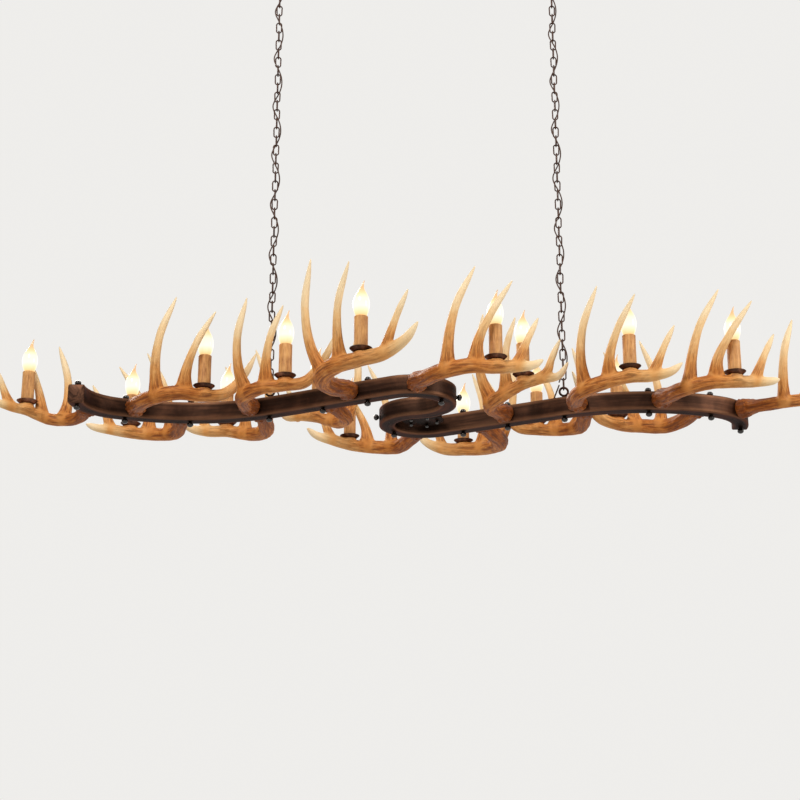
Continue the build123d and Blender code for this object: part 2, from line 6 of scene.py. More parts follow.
# %% Load the frame and keep its box
import json
import bpy
import numpy as np
from mathutils import Vector
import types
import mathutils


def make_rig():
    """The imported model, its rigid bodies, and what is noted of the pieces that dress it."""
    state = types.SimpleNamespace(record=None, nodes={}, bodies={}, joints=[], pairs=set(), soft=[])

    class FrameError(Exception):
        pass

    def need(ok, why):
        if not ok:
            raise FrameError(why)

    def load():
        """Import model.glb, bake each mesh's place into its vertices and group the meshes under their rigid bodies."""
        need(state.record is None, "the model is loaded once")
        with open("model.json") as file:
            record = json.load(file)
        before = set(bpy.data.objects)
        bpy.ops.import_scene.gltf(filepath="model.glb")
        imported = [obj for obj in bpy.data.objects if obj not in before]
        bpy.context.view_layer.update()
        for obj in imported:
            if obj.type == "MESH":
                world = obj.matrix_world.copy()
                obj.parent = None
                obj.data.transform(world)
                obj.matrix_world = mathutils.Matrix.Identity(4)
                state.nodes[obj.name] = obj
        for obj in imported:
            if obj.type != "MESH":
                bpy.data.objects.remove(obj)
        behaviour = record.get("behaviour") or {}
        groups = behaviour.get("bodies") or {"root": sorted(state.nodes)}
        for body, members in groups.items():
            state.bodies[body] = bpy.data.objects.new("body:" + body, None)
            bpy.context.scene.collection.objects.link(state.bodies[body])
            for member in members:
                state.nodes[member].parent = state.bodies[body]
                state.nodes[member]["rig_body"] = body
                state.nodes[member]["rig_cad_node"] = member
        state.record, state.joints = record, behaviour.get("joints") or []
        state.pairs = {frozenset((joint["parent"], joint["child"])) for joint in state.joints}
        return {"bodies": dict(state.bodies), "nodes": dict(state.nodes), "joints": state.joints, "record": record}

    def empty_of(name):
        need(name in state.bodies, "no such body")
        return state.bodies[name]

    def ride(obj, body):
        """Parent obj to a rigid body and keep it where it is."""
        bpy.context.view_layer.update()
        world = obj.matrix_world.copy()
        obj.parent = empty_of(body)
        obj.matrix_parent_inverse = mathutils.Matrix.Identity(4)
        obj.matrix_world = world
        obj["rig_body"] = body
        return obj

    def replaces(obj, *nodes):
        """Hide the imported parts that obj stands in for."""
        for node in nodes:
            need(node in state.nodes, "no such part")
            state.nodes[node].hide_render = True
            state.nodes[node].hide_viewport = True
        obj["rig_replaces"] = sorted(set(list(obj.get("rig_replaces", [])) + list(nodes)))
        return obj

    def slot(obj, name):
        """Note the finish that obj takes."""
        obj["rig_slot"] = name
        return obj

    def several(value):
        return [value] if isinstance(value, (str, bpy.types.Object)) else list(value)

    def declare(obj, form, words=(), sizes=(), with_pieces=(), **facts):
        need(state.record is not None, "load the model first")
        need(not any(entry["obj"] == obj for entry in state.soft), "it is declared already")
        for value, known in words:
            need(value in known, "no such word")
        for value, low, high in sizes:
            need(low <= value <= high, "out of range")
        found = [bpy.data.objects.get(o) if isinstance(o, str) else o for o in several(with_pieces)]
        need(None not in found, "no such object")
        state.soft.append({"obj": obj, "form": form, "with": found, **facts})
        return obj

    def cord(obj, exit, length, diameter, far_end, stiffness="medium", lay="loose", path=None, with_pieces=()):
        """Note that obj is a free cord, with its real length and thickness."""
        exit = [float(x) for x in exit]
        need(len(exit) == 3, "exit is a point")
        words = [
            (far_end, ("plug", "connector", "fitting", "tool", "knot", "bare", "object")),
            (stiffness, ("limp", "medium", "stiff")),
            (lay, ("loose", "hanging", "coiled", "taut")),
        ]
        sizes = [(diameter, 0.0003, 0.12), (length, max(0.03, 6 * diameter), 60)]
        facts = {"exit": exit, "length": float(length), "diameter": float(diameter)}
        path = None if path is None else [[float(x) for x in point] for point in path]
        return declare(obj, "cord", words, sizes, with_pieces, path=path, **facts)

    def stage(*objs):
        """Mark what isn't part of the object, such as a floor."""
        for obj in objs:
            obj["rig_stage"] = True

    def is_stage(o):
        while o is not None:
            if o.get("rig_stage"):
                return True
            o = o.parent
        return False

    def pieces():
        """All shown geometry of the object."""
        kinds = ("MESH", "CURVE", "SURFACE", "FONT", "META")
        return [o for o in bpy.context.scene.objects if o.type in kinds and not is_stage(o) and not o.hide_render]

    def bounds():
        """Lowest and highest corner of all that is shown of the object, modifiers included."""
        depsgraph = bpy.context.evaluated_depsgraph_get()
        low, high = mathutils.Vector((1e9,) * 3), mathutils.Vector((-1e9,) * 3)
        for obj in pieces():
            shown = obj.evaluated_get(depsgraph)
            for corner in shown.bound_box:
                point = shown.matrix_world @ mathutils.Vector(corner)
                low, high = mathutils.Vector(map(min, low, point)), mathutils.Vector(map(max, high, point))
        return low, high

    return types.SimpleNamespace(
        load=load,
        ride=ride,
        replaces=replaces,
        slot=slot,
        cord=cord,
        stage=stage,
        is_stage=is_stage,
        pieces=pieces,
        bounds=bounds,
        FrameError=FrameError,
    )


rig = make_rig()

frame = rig.load()
cad_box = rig.bounds()
scene = bpy.context.scene
scene.view_settings.view_transform = "Standard"
MM = 0.001
print("nodes in the frame:", len(frame["nodes"]))

# %% [markdown]
# Every surface here is a grid: rows of points carried along a path, closed round or open.
# The faces are index arithmetic, so whole arrays give them at once. A small writer then
# hands vertices, faces and named attributes to Blender with foreach_set.

# %% Grid faces and the mesh writer


def grid_faces(rows, columns, closed_rows=False):
    """Quads of a grid of points numbered row by row. Each row closes on itself, and closed
    rows also join the last row to the first."""
    i = np.arange(rows if closed_rows else rows - 1)[:, None]
    j = np.arange(columns)[None, :]
    i2, j2 = (i + 1) % rows, (j + 1) % columns
    corners = [i * columns + j, i * columns + j2, i2 * columns + j2, i2 * columns + j]
    return np.stack([np.broadcast_to(c, (i.size, j.size)) for c in corners], axis=-1).reshape(-1, 4)


def cap_faces(rows, columns):
    """Triangles from the first and last ring to one point each, numbered after the grid."""
    j = np.arange(columns)
    j2 = (j + 1) % columns
    first, last = rows * columns, rows * columns + 1
    low = np.stack([j2, j, np.full(columns, first)], axis=-1)
    top = (rows - 1) * columns
    high = np.stack([top + j, top + j2, np.full(columns, last)], axis=-1)
    return np.concatenate([low, high])


def write_mesh(name, points, quads, triangles=None, attributes=None):
    """A Blender object whose mesh has these points in millimetres and these faces."""
    triangles = np.zeros((0, 3), int) if triangles is None else triangles
    mesh = bpy.data.meshes.new(name)
    mesh.vertices.add(len(points))
    mesh.vertices.foreach_set("co", (np.asarray(points, float) * MM).ravel())
    loops = np.concatenate([quads.ravel(), triangles.ravel()])
    sizes = np.concatenate([np.full(len(quads), 4), np.full(len(triangles), 3)])
    mesh.loops.add(len(loops))
    mesh.loops.foreach_set("vertex_index", loops)
    mesh.polygons.add(len(sizes))
    mesh.polygons.foreach_set("loop_start", np.concatenate([[0], np.cumsum(sizes)[:-1]]))
    mesh.update(calc_edges=True)
    mesh.polygons.foreach_set("use_smooth", np.ones(len(sizes), bool))
    for key, values in (attributes or {}).items():
        kind = "FLOAT_VECTOR" if values.ndim == 2 else "FLOAT"
        field = "vector" if values.ndim == 2 else "value"
        layer = mesh.attributes.new(key, kind, "POINT")
        layer.data.foreach_set(field, values.astype(float).ravel())
    mesh.validate()
    piece = bpy.data.objects.new(name, mesh)
    scene.collection.objects.link(piece)
    return piece


def capped(rings):
    """Points, quads and end triangles of a tube given as rings of points."""
    rows, columns = rings.shape[:2]
    ends = np.stack([rings[0].mean(axis=0), rings[-1].mean(axis=0)])
    points = np.concatenate([rings.reshape(-1, 3), ends])
    return points, grid_faces(rows, columns), cap_faces(rows, columns)


def copied(points, faces, places):
    """The same shape set down at many places: its points shifted, its faces renumbered."""
    places = np.asarray(places, float)
    many = (points[None] + places[:, None, :]).reshape(-1, 3)
    shift = (np.arange(len(places)) * len(points))[:, None, None]
    return many, (faces[None] + shift).reshape(-1, faces.shape[1])


def capped_copies(rings, places):
    """Points, quads and end triangles of a tube set down at many places."""
    points, quads, tips = capped(rings)
    return *copied(points, quads, places), copied(points, tips, places)[1]


def joined(*parts):
    """Several shapes as one: their points in a row, and each shape's faces renumbered."""
    starts = np.cumsum([0] + [len(part[0]) for part in parts])
    points, *kinds = zip(*parts)
    faces = [np.concatenate([f + start for f, start in zip(kind, starts)]) for kind in kinds]
    return np.concatenate(points), *faces


def finish_piece(piece, body, nodes, slot, material):
    """Ties a piece to its CAD body, the nodes it stands for, its slot and its material."""
    piece.data.materials.append(material)
    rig.ride(piece, body)
    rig.replaces(piece, *nodes)
    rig.slot(piece, slot)


# %% [markdown]
# A finish is a small node graph. Noise in the piece's own coordinates gives patches, streaks
# and pores at their real size, a ramp turns it into colours, and a bump turns it into relief.
# Constants stay on the shader's own sockets, so other programs can read them.

# %% Node helpers


def feed(node, values):
    """Sets a node's inputs to numbers or colours, or joins other nodes' outputs to them."""
    for key, value in values.items():
        if isinstance(value, bpy.types.NodeSocket):
            node.id_data.links.new(value, node.inputs[key])
        else:
            node.inputs[key].default_value = value


def set_shader(material, values):
    """Feeds the Principled shader of a material."""
    feed(material.node_tree.nodes["Principled BSDF"], values)


def new_material(name, metallic, roughness, specular):
    """A material with these values on its Principled shader."""
    material = bpy.data.materials.new(name)
    material.use_nodes = True
    set_shader(material, {"Metallic": metallic, "Roughness": roughness,
                          "Specular IOR Level": specular})
    return material


def add_node(owner, kind, inputs=None, **settings):
    """A node of a material or the world, with its settings and what feeds its inputs."""
    node = owner.node_tree.nodes.new(kind)
    for key, value in settings.items():
        setattr(node, key, value)
    feed(node, inputs or {})
    return node


def stored(material, name, output="Fac"):
    """A value kept on the mesh's points under this name."""
    return add_node(material, "ShaderNodeAttribute", attribute_name=name).outputs[output]


def noise(material, scale, detail, roughness, distortion=0.0, name=None, stretch=(1, 1, 1)):
    """Fractal noise at so many waves a metre, in Object space or in the places that an
    attribute gives, stretched by an axis."""
    place = (stored(material, name, "Vector") if name
             else add_node(material, "ShaderNodeTexCoord").outputs["Object"])
    mapping = add_node(material, "ShaderNodeMapping", {"Vector": place, "Scale": stretch})
    values = {"Vector": mapping.outputs["Vector"], "Scale": scale, "Detail": detail,
              "Roughness": roughness, "Distortion": distortion}
    return add_node(material, "ShaderNodeTexNoise", values).outputs["Fac"]


def ramp(material, factor, stops):
    """A colour ramp with stops of (place, red, green, blue)."""
    node = add_node(material, "ShaderNodeValToRGB", {"Fac": factor})
    elements = node.color_ramp.elements
    while len(elements) < len(stops):
        elements.new(0.5)
    for element, (place, red, green, blue) in zip(elements, stops):
        element.position = place
        element.color = (red, green, blue, 1)
    return node.outputs["Color"]


def mixed(material, factor, first, second, blend="MIX"):
    """Two colours mixed by a factor; a Mix node's colour sockets are numbers 6, 7 and 2."""
    node = add_node(material, "ShaderNodeMix", {0: factor, 6: first, 7: second},
                    data_type="RGBA", blend_type=blend)
    return node.outputs[2]


def arithmetic(owner, operation, *values):
    """One Math node, fed in order."""
    node = add_node(owner, "ShaderNodeMath", dict(enumerate(values)), operation=operation)
    return node.outputs[0]


def map_range(material, value, low, high, from_low=0.0, from_high=1.0):
    """A number carried from one span of values to another, and held inside it."""
    values = {"Value": value, "From Min": from_low, "From Max": from_high,
              "To Min": low, "To Max": high}
    return add_node(material, "ShaderNodeMapRange", values).outputs["Result"]


def bump(material, height, strength, distance, before=None):
    """Relief of a real depth in metres, added to an earlier relief."""
    values = {"Height": height, "Strength": strength, "Distance": distance}
    if before is not None:
        values["Normal"] = before
    out = add_node(material, "ShaderNodeBump", values).outputs["Normal"]
    set_shader(material, {"Normal": out})
    return out


def mottled(material, scale, detail, roughness, stops):
    """Colours a material by noise through a ramp, and gives the noise back for its relief."""
    spots = noise(material, scale, detail, roughness)
    set_shader(material, {"Base Color": ramp(material, spots, stops)})
    return spots


# %% [markdown]
# The tube's line is a heading that turns evenly along each stretch: a tight scroll, a straight
# run, a wide wing and a hook at the end. Adding up small steps of cosine and sine gives the
# line, and the other half is the same line turned half a turn about the middle.

# %% The S-shaped line
bar_width, bar_height = 34.0, 40.0
bar_top, bar_bottom = -1070.2, -1110.2
bar_middle = (bar_top + bar_bottom) / 2
scroll_radius = 78.0
# Each stretch is a radius with its turn in degrees, or a length with no turn
stretches = [(scroll_radius, -199.0), (286.0, 0.0), (373.0, 54.0), (116.0, 65.0)]
lengths = [r * abs(np.radians(t)) if t else r for r, t in stretches]
route_ends = np.concatenate([[0], np.cumsum(lengths)])
route_length = route_ends[-1]
scroll_heading = 170.04
headings = np.radians(scroll_heading + np.concatenate([[0], np.cumsum([t for _, t in stretches])]))
fine_step = 0.25
fine = np.arange(0, route_length + fine_step, fine_step)
fine_heading = np.interp(fine, route_ends, headings)
middle_heading = (fine_heading[1:] + fine_heading[:-1]) / 2
step = np.diff(fine)
fine_x = np.concatenate([[0], np.cumsum(np.cos(middle_heading) * step)])
fine_y = np.concatenate([[0], np.cumsum(np.sin(middle_heading) * step)])


def on_line(stations):
    """Points and unit directions of the line at distances from its middle; a negative
    distance lies on the other half."""
    s = np.asarray(stations, float)
    sign = np.where(s < 0, -1.0, 1.0)
    x, y = np.interp(abs(s), fine, fine_x) * sign, np.interp(abs(s), fine, fine_y) * sign
    turn = np.interp(abs(s), fine, fine_heading)
    return np.stack([x, y], axis=-1), np.stack([np.cos(turn), np.sin(turn)], axis=-1)


print("half line", round(route_length, 1), "mm, ends at", np.round(on_line(route_length)[0], 1))

# %% [markdown]
# The tube's section is a rectangle with rounded corners. Carrying it along the line gives the
# skin, and a few shrinking rings round the closed ends. Each point also keeps its place along
# and across the tube as an attribute, so brush marks can run with the bends.

# %% The tube


def rounded_section(width, height, radius, corner_steps, side_steps):
    """Closed outline: corner arcs of the radius, joined by straight sides cut into steps."""
    turns = np.linspace(0, np.pi / 2, corner_steps)
    arcs, closed = [], []
    for quarter, signs in enumerate(((1, 1), (-1, 1), (-1, -1), (1, -1))):
        middle = signs * np.array([width / 2 - radius, height / 2 - radius])
        angle = turns + quarter * np.pi / 2
        arcs.append(middle + radius * np.stack([np.cos(angle), np.sin(angle)], axis=-1))
    share = np.linspace(0, 1, side_steps, endpoint=False)[1:, None]
    for here, there in zip(arcs, arcs[1:] + arcs[:1]):
        closed += [here, here[-1] * (1 - share) + there[0] * share]
    return np.concatenate(closed)


corner_radius, cap_thickness = 3.2, 4.0
section = rounded_section(bar_width, bar_height, corner_radius, 5, 6)
end_stations = route_length + cap_thickness - np.array([0.0, 0.4, 1.4, 3.2])
end_shrink = np.array([2.4, 1.2, 0.3, 0.0])
half = np.linspace(0, route_length, 300)
stations = np.concatenate([-end_stations, -half[:0:-1], half, end_stations[::-1]])
shrink = np.concatenate([end_shrink, np.zeros(2 * len(half) - 1), end_shrink[::-1]])
centre, direction = on_line(np.clip(stations, -route_length, route_length))
centre = centre + direction * (stations - np.clip(stations, -route_length, route_length))[:, None]
inset = 1 - shrink[:, None] / np.array([bar_width / 2, bar_height / 2])
left = np.stack([-direction[:, 1], direction[:, 0]], axis=-1)
side = section[None, :, 0] * inset[:, :1]
rise = section[None, :, 1] * inset[:, 1:]
tube_rings = np.concatenate([
    centre[:, None, :] + left[:, None, :] * side[..., None],
    bar_middle + rise[..., None],
], axis=-1)
tube_points, tube_quads, tube_tips = capped(tube_rings)
run = np.stack(np.broadcast_arrays(stations[:, None], side, rise), axis=-1).reshape(-1, 3)
run = np.concatenate([run, run[:1], run[-1:]]) * MM
# The shares of the half width and the half height add up to 2 at a sharp corner
edge_from, edge_width = 1.72, 0.12
corner = np.abs(run[:, 1]) / (bar_width / 2 * MM) + np.abs(run[:, 2]) / (bar_height / 2 * MM)
edge = np.clip((corner - edge_from) / edge_width, 0, 1)
tube = write_mesh("frame_tube_skin", tube_points, tube_quads, tube_tips, {"run": run, "edge": edge})
print("tube skin", len(tube_quads), "quads")

# %% [markdown]
# The iron is painted a very dark bronze and rubbed back, so warm copper brown shows on the
# edges and in long faint streaks. Noise stretched along the tube gives the streaks and their
# change of gloss, and the edge attribute gives the rubbed corners.

# %% Dark bronze paint


def dark_bronze(name, attribute, along, lightness=1.0):
    """Bronze paint whose streaks follow an attribute's coordinates or the piece's own."""
    material = new_material(name, 0.7, 0.42, 0.25)
    streaks = noise(material, 90, 5, 0.6, 0.2, attribute, along)
    patches = noise(material, 9, 4, 0.6, 0.6, attribute)
    grit = noise(material, 900, 2, 0.5, 0.0, attribute)
    # A lightness above 1 paints light into these colours. The pans' lighter copy stands for the light that their
    # dishes reflect.
    tones = lightness * np.array([(0.012, 0.0062, 0.0042), (0.034, 0.017, 0.0115),
                                  (0.088, 0.041, 0.025), (0.18, 0.082, 0.046)])
    stops = [(at, *tone) for at, tone in zip((0.1, 0.24, 0.36, 0.58), tones)]
    colour = ramp(material, arithmetic(material, "MULTIPLY", streaks, patches), stops)
    rubbed = arithmetic(material, "ADD", patches, 0.1)
    rubbed = arithmetic(material, "MULTIPLY", stored(material, "edge"), rubbed)
    colour = mixed(material, rubbed, colour, (0.2, 0.095, 0.052, 1))
    set_shader(material, {"Base Color": colour, "Specular Tint": (0.34, 0.2, 0.14, 1),
                          "Roughness": map_range(material, streaks, 0.3, 0.56)})
    first = bump(material, streaks, 0.35, 0.0004)
    bump(material, grit, 0.25, 0.00015, first)
    return material


bronze_run = dark_bronze("dark_bronze_tube", "run", (0.06, 1, 1))
bronze = dark_bronze("dark_bronze", None, (1, 1, 0.5))
# Painted light: the pans take this bronze 2.4 times lighter, standing for the light that their dishes reflect.
bronze_pans_painted_light = dark_bronze("dark_bronze_pans_painted_light", None, (1, 1, 0.5), 2.4)
finish_piece(tube, "frame", ["frame_tube", "end_caps"], "dark_bronze", bronze_run)
print("paints", [bronze_run.name, bronze.name, bronze_pans_painted_light.name])

# %% [markdown]
# An antler is a bent beam with upright tines. Each branch is a tube round a smooth line: the
# line passes through a few points with Hermite curves, whose slopes are the mean of the
# neighbouring chords. Near its root a tine flares, as bone does where it grows from the beam.

# %% Smooth lines and branches


def smooth_line(points, count):
    """Even points on Hermite curves through the given ones, with their distances along the
    chords and those of the given points."""
    points = np.asarray(points, float)
    chords = np.linalg.norm(np.diff(points, axis=0), axis=1)
    knots = np.concatenate([[0], np.cumsum(chords)])
    slopes = np.gradient(points, knots, axis=0)
    t = np.linspace(0, knots[-1], count)
    i = np.clip(np.searchsorted(knots, t, side="right") - 1, 0, len(chords) - 1)
    span = chords[i][:, None]
    u = ((t - knots[i])[:, None]) / span
    h = [2 * u**3 - 3 * u**2 + 1, u**3 - 2 * u**2 + u, 3 * u**2 - 2 * u**3, u**3 - u**2]
    line = (h[0] * points[i] + h[1] * span * slopes[i] + h[2] * points[i + 1]
            + h[3] * span * slopes[i + 1])
    return line, t, knots


def branch(points, radii, count, sides, reference, flare=0.0, web=0.0, wide=1.0, full=0.0):
    """A tube whose radius follows the given ones; at its root it flares by exp(-t / 16 mm) and
    spreads into a web along the beam by exp(-t / 30 mm), t being the distance from the root.
    Its last stretch, u from 0 to 1, is fuller than a cone by u (1 - u)."""
    line, t, knots = smooth_line(points, count)
    last = np.clip((t - knots[-2]) / (knots[-1] - knots[-2]), 0, 1)
    radius = np.interp(t, knots, radii) + full * radii[-2] * last * (1 - last)
    radius = radius * (1 + flare * np.exp(-t / 16.0))
    spread = wide + web * np.exp(-t / 30.0)
    direction = np.gradient(line, t, axis=0)
    direction /= np.linalg.norm(direction, axis=1, keepdims=True)
    across = np.cross(direction, reference)
    across /= np.linalg.norm(across, axis=1, keepdims=True)
    upward = np.cross(across, direction)
    turns = np.linspace(0, 2 * np.pi, sides, endpoint=False)
    wave = across[:, None] * (spread[:, None] * np.cos(turns))[:, :, None]
    wave = wave + upward[:, None] * np.sin(turns)[None, :, None]
    rings = line[:, None] + wave * radius[:, None, None]
    return {"rings": rings, "line": line, "t": t, "radius": radius, "across": across, "up": upward}


# %% The antlers' rows and branches
# Name, station, sweep, size, yaw, number of points, height of the beam at the candle, its rise
# past the candle, lift of its tip, and lean of the tines along the sweep
scroll_end, run_end, wing_end = route_ends[1:4]
antler_rows = [
    ("a", scroll_end - 49, -1, 1.00, 6.0, 4, -3.0, 4.0, 14.0, 30.0),
    ("b", scroll_end + 91, -1, 1.13, -4.0, 4, -1.0, 4.0, 40.0, -25.0),
    ("c", run_end - 117, 1, 0.90, -2.0, 4, 16.0, 24.0, 44.0, -20.0),
    ("d", run_end + 50, 1, 1.00, 8.0, 4, 5.0, 6.0, 20.0, 15.0),
    ("e", run_end + 49, -1, 0.95, 8.0, 3, -2.0, 4.0, 110.0, -12.0),
    ("f", run_end + 217, 1, 0.96, 0.0, 4, -2.0, 2.0, 0.0, 45.0),
    ("g", wing_end - 36, -1, 1.00, -4.0, 3, -6.0, 2.0, 90.0, 8.0),
    ("h", wing_end + 47, 1, 0.84, -18.0, 4, 8.0, 10.0, 24.0, -6.0),
]
seat_radius, burr_length, beam_radius, tine_radius, tip_radius = 21.0, 12.0, 15.5, 11.0, 1.6
candle_along, candle_out, candle_rise, boss_radius = 124.0, 147.0, 15.0, 15.0
tine_webs = (0.5, 1.1, 0.5)
seat_gap, hollow_relief = 0.05, 0.67
straight_up = np.array([0, 0, 1.0])


def seat_frame(station, sweep):
    """Origin of an antler's seat on the tube's face, and the directions along and into it."""
    point, heading = on_line(station)
    along = heading * sweep
    outward = np.array([along[1], -along[0]])
    stand_off = hollow_relief if sweep < 0 and station > run_end else seat_gap
    face = point + outward * (bar_width / 2 + stand_off)
    return np.array([*face, bar_middle]), np.array([*along, 0.0]), np.array([*-outward, 0.0])


def local_spots(size, yaw, rows):
    """Spots given as along, out, level in the seat's plane, turned by the yaw and scaled."""
    turn = np.radians(yaw)
    rows = np.asarray(rows, float)
    x = rows[:, 0] * np.cos(turn) + rows[:, 1] * np.sin(turn)
    y = rows[:, 0] * np.sin(turn) - rows[:, 1] * np.cos(turn)
    return np.stack([x, y, rows[:, 2]], axis=-1) * size


def antler_branches(size, yaw, points, carry, rise, lift, lean):
    """The beam, its tines and the boss under the candle, as branches in the seat's plane;
    also the foot of the boss."""
    beam = local_spots(size, yaw, [
        (3, 56, -6), (22, 118, -10), (66, 148, -5), (candle_along, candle_out, carry),
        (165, 140, rise), (207, 134, 6 + 0.45 * lift), (226 + 0.1 * lift, 130, 12 + lift)])
    start = [(0, 0, 0), (0, -burr_length, 0), (0, -1.9 * burr_length, 0)]
    beam = np.concatenate([start, beam])
    burr = [0.94 * seat_radius, seat_radius, 0.86 * seat_radius]
    shares = np.array([1.04, 1.0, 0.97, 0.84, 0.82, 0.55]) * beam_radius * size
    radii = np.concatenate([burr, shares, [tip_radius]])
    aside = np.array([0, 1.0, 0])
    found = [branch(beam, radii, 120, 28, straight_up, wide=1.06, full=0.6)]
    tines = [[(30, 128, -6), (20 + 0.3 * lean, 142, 45), (22 + 0.6 * lean, 152, 110),
              (50 + lean, 162, 200)],
             [(82, 148, -3), (84, 160, 40), (98 + 0.3 * lean, 170, 96),
              (134 + 0.6 * lean, 178, 170)]]
    if points > 3:
        tines.append([(168, 140, rise), (180, 142, 34), (194, 142, 66), (216, 140, 110)])
    for order, tine in enumerate(tines):
        root = tine_radius * (1 - 0.1 * order)
        radii = np.array([root, root * 0.9, root * 0.74, tip_radius])
        found.append(branch(local_spots(size, yaw, tine), radii, 80, 20, aside,
                            flare=0.3, web=tine_webs[order], full=1.0))
    foot = local_spots(size, yaw, [(candle_along, candle_out, carry)])[0]
    post = foot + np.array([(0, 0, 0), (0, 0, candle_rise / 2), (0, 0, candle_rise)])
    found.append(branch(post, np.array([1.35, 1.05, 0.95]) * boss_radius, 12, 24, aside))
    return found, foot


print("antlers on each half:", len(antler_rows))

# %% [markdown]
# The branches only cross each other, so a voxel remesh melts them into one skin, and a light
# smoothing softens the forks. The remesh forgets where each point came from. Distances to
# the branches' lines bring it back: how far along the bone a point lies and at which turn.

# %% One antler's skin
voxel = 2.0
groove_height, pearl_height = 1.9, 2.4


def apply_modifiers(piece):
    """Gives the piece the mesh that its modifiers make."""
    graph = bpy.context.evaluated_depsgraph_get()
    mesh = bpy.data.meshes.new_from_object(piece.evaluated_get(graph))
    old = piece.data
    piece.modifiers.clear()
    piece.data = mesh
    bpy.data.meshes.remove(old)


def melted_skin(name, branches):
    """One object whose closed skin of quads goes round all the branches."""
    piece = write_mesh(name, *joined(*(capped(item["rings"]) for item in branches)))
    remesh = piece.modifiers.new("melt", "REMESH")
    remesh.mode = "VOXEL"
    remesh.voxel_size = voxel * MM
    soften = piece.modifiers.new("soften", "SMOOTH")
    soften.factor, soften.iterations = 0.5, 4
    bpy.context.view_layer.update()
    apply_modifiers(piece)
    return piece


def bone_coordinates(points, branches):
    """For each point: distance along its branch and turn about it, the branch's radius, how near
    a tip it is, blended between branches, and how clear it is of the next branch, from 0 to 1."""
    gaps, tips, found = [], [], []
    for index, item in enumerate(branches[:-1]):
        gap = np.linalg.norm(points[:, None] - item["line"][None], axis=2)
        gap = gap / item["radius"][None] ** 0.7
        near = gap.argmin(axis=1)
        arm = points - item["line"][near]
        turn = np.arctan2((arm * item["up"][near]).sum(1), (arm * item["across"][near]).sum(1))
        share = item["t"][near] / item["t"][-1]
        gaps.append(gap.min(axis=1))
        tips.append(0.5 * share + 0.5 * share**7 if index == 0 else 0.22 + 0.78 * share**1.1)
        found.append(np.stack([item["t"][near] + 140 * index, turn, item["radius"][near]]))
    gaps = np.array(gaps)
    weight = np.exp(-(gaps - gaps.min(axis=0)) / 0.5)
    first = gaps.argmin(axis=0)
    along, turn, thick = np.array(found)[first, :, np.arange(len(points))].T
    margin = np.sort(gaps, axis=0)
    clear = np.clip((margin[1] - margin[0]) / 1.1, 0, 1)
    return {"along": along, "turn": turn, "thick": thick,
            "tip": (weight * np.array(tips)).sum(axis=0) / weight.sum(axis=0),
            "clear": clear * clear * (3 - 2 * clear)}


def relief(bone, seed):
    """Height in millimetres: four sine waves round the bone whose phase drifts along it make
    the grooves, and a sine round times a sine along makes the pearls of the burr."""
    along, turn = bone["along"], bone["turn"]
    grooves = np.zeros_like(along)
    for waves, weight in ((5, 0.28), (8, 0.24), (13, 0.2), (19, 0.16)):
        drift = 1.4 * np.sin(along / 34 + seed + waves) + 0.8 * np.sin(along / 13 + 2 * waves)
        grooves += weight * np.sin(waves * turn + drift)
    calm = np.clip(1 - 1.25 * bone["tip"], 0, 1) ** 1.3
    calm = calm * np.clip(bone["thick"] / 12, 0, 1) * bone["clear"]
    burr = np.exp(-((along - 8) / 15.0) ** 2) * (along < 60)
    pearls = np.sin(9 * turn + seed) * np.sin(along / 2.6 + np.cos(4 * turn))
    pearls = np.clip(pearls, 0, 1) ** 0.6
    return groove_height * grooves * calm + pearl_height * burr * (pearls - 0.35)


# %% All sixteen antlers
# Each half's name, and what turns the right half into it
halves = {"right": np.array([1.0, 1.0, 1.0]), "left": np.array([-1.0, -1.0, 1.0])}
seat_fade = 5.0


def vertex_array(mesh, key):
    """The places or the normals of a mesh's points, a row each."""
    values = np.zeros(len(mesh.vertices) * 3)
    mesh.vertices.foreach_get(key, values)
    return values.reshape(-1, 3)


antlers, candle_places = {}, {}
for row_index, row in enumerate(antler_rows):
    name, station, sweep, size, yaw, points, carry, rise, lift, lean = row
    branches, foot = antler_branches(size, yaw, points, carry, rise, lift, lean)
    skin = melted_skin("antler_" + name, branches)
    place = vertex_array(skin.data, "co") / MM
    bone = bone_coordinates(place, branches)
    height = relief(bone, 1.7 * row_index) * np.clip(-place[:, 1] / seat_fade, 0, 1)
    place = place + vertex_array(skin.data, "normal") * height[:, None]
    place[:, 1] = np.minimum(place[:, 1], 0.0)
    origin, along, inward = seat_frame(station, sweep)
    world = origin + place[:, :1] * along + place[:, 1:2] * inward + place[:, 2:] * straight_up
    candle = origin + foot[0] * along + foot[1] * inward + np.array([0, 0, foot[2] + candle_rise])
    grain = np.stack([bone["along"], bone["thick"] * np.cos(bone["turn"]),
                      bone["thick"] * np.sin(bone["turn"])], axis=-1) * MM
    quads = np.zeros(len(skin.data.loops), int)
    skin.data.loops.foreach_get("vertex_index", quads)
    quads = quads.reshape(-1, 4)
    values = {"grain": grain, "tip": bone["tip"], "groove": height, "clear": bone["clear"]}
    for side_name, half_turn in halves.items():
        key = f"{name}_{side_name}"
        antlers[key] = write_mesh(f"antler_{key}_bone", world * half_turn, quads, None, values)
        candle_places[key] = candle * half_turn
    bpy.data.objects.remove(skin)
print("antlers", len(antlers), "faces of the last one", len(quads))

# %% [markdown]
# The antlers are cast in resin and stained: red-brown and rough at the burr, honey on the
# beam, and cream towards the tips. Stain settles in the grooves. The grain attribute keeps
# the streaks running along each branch.

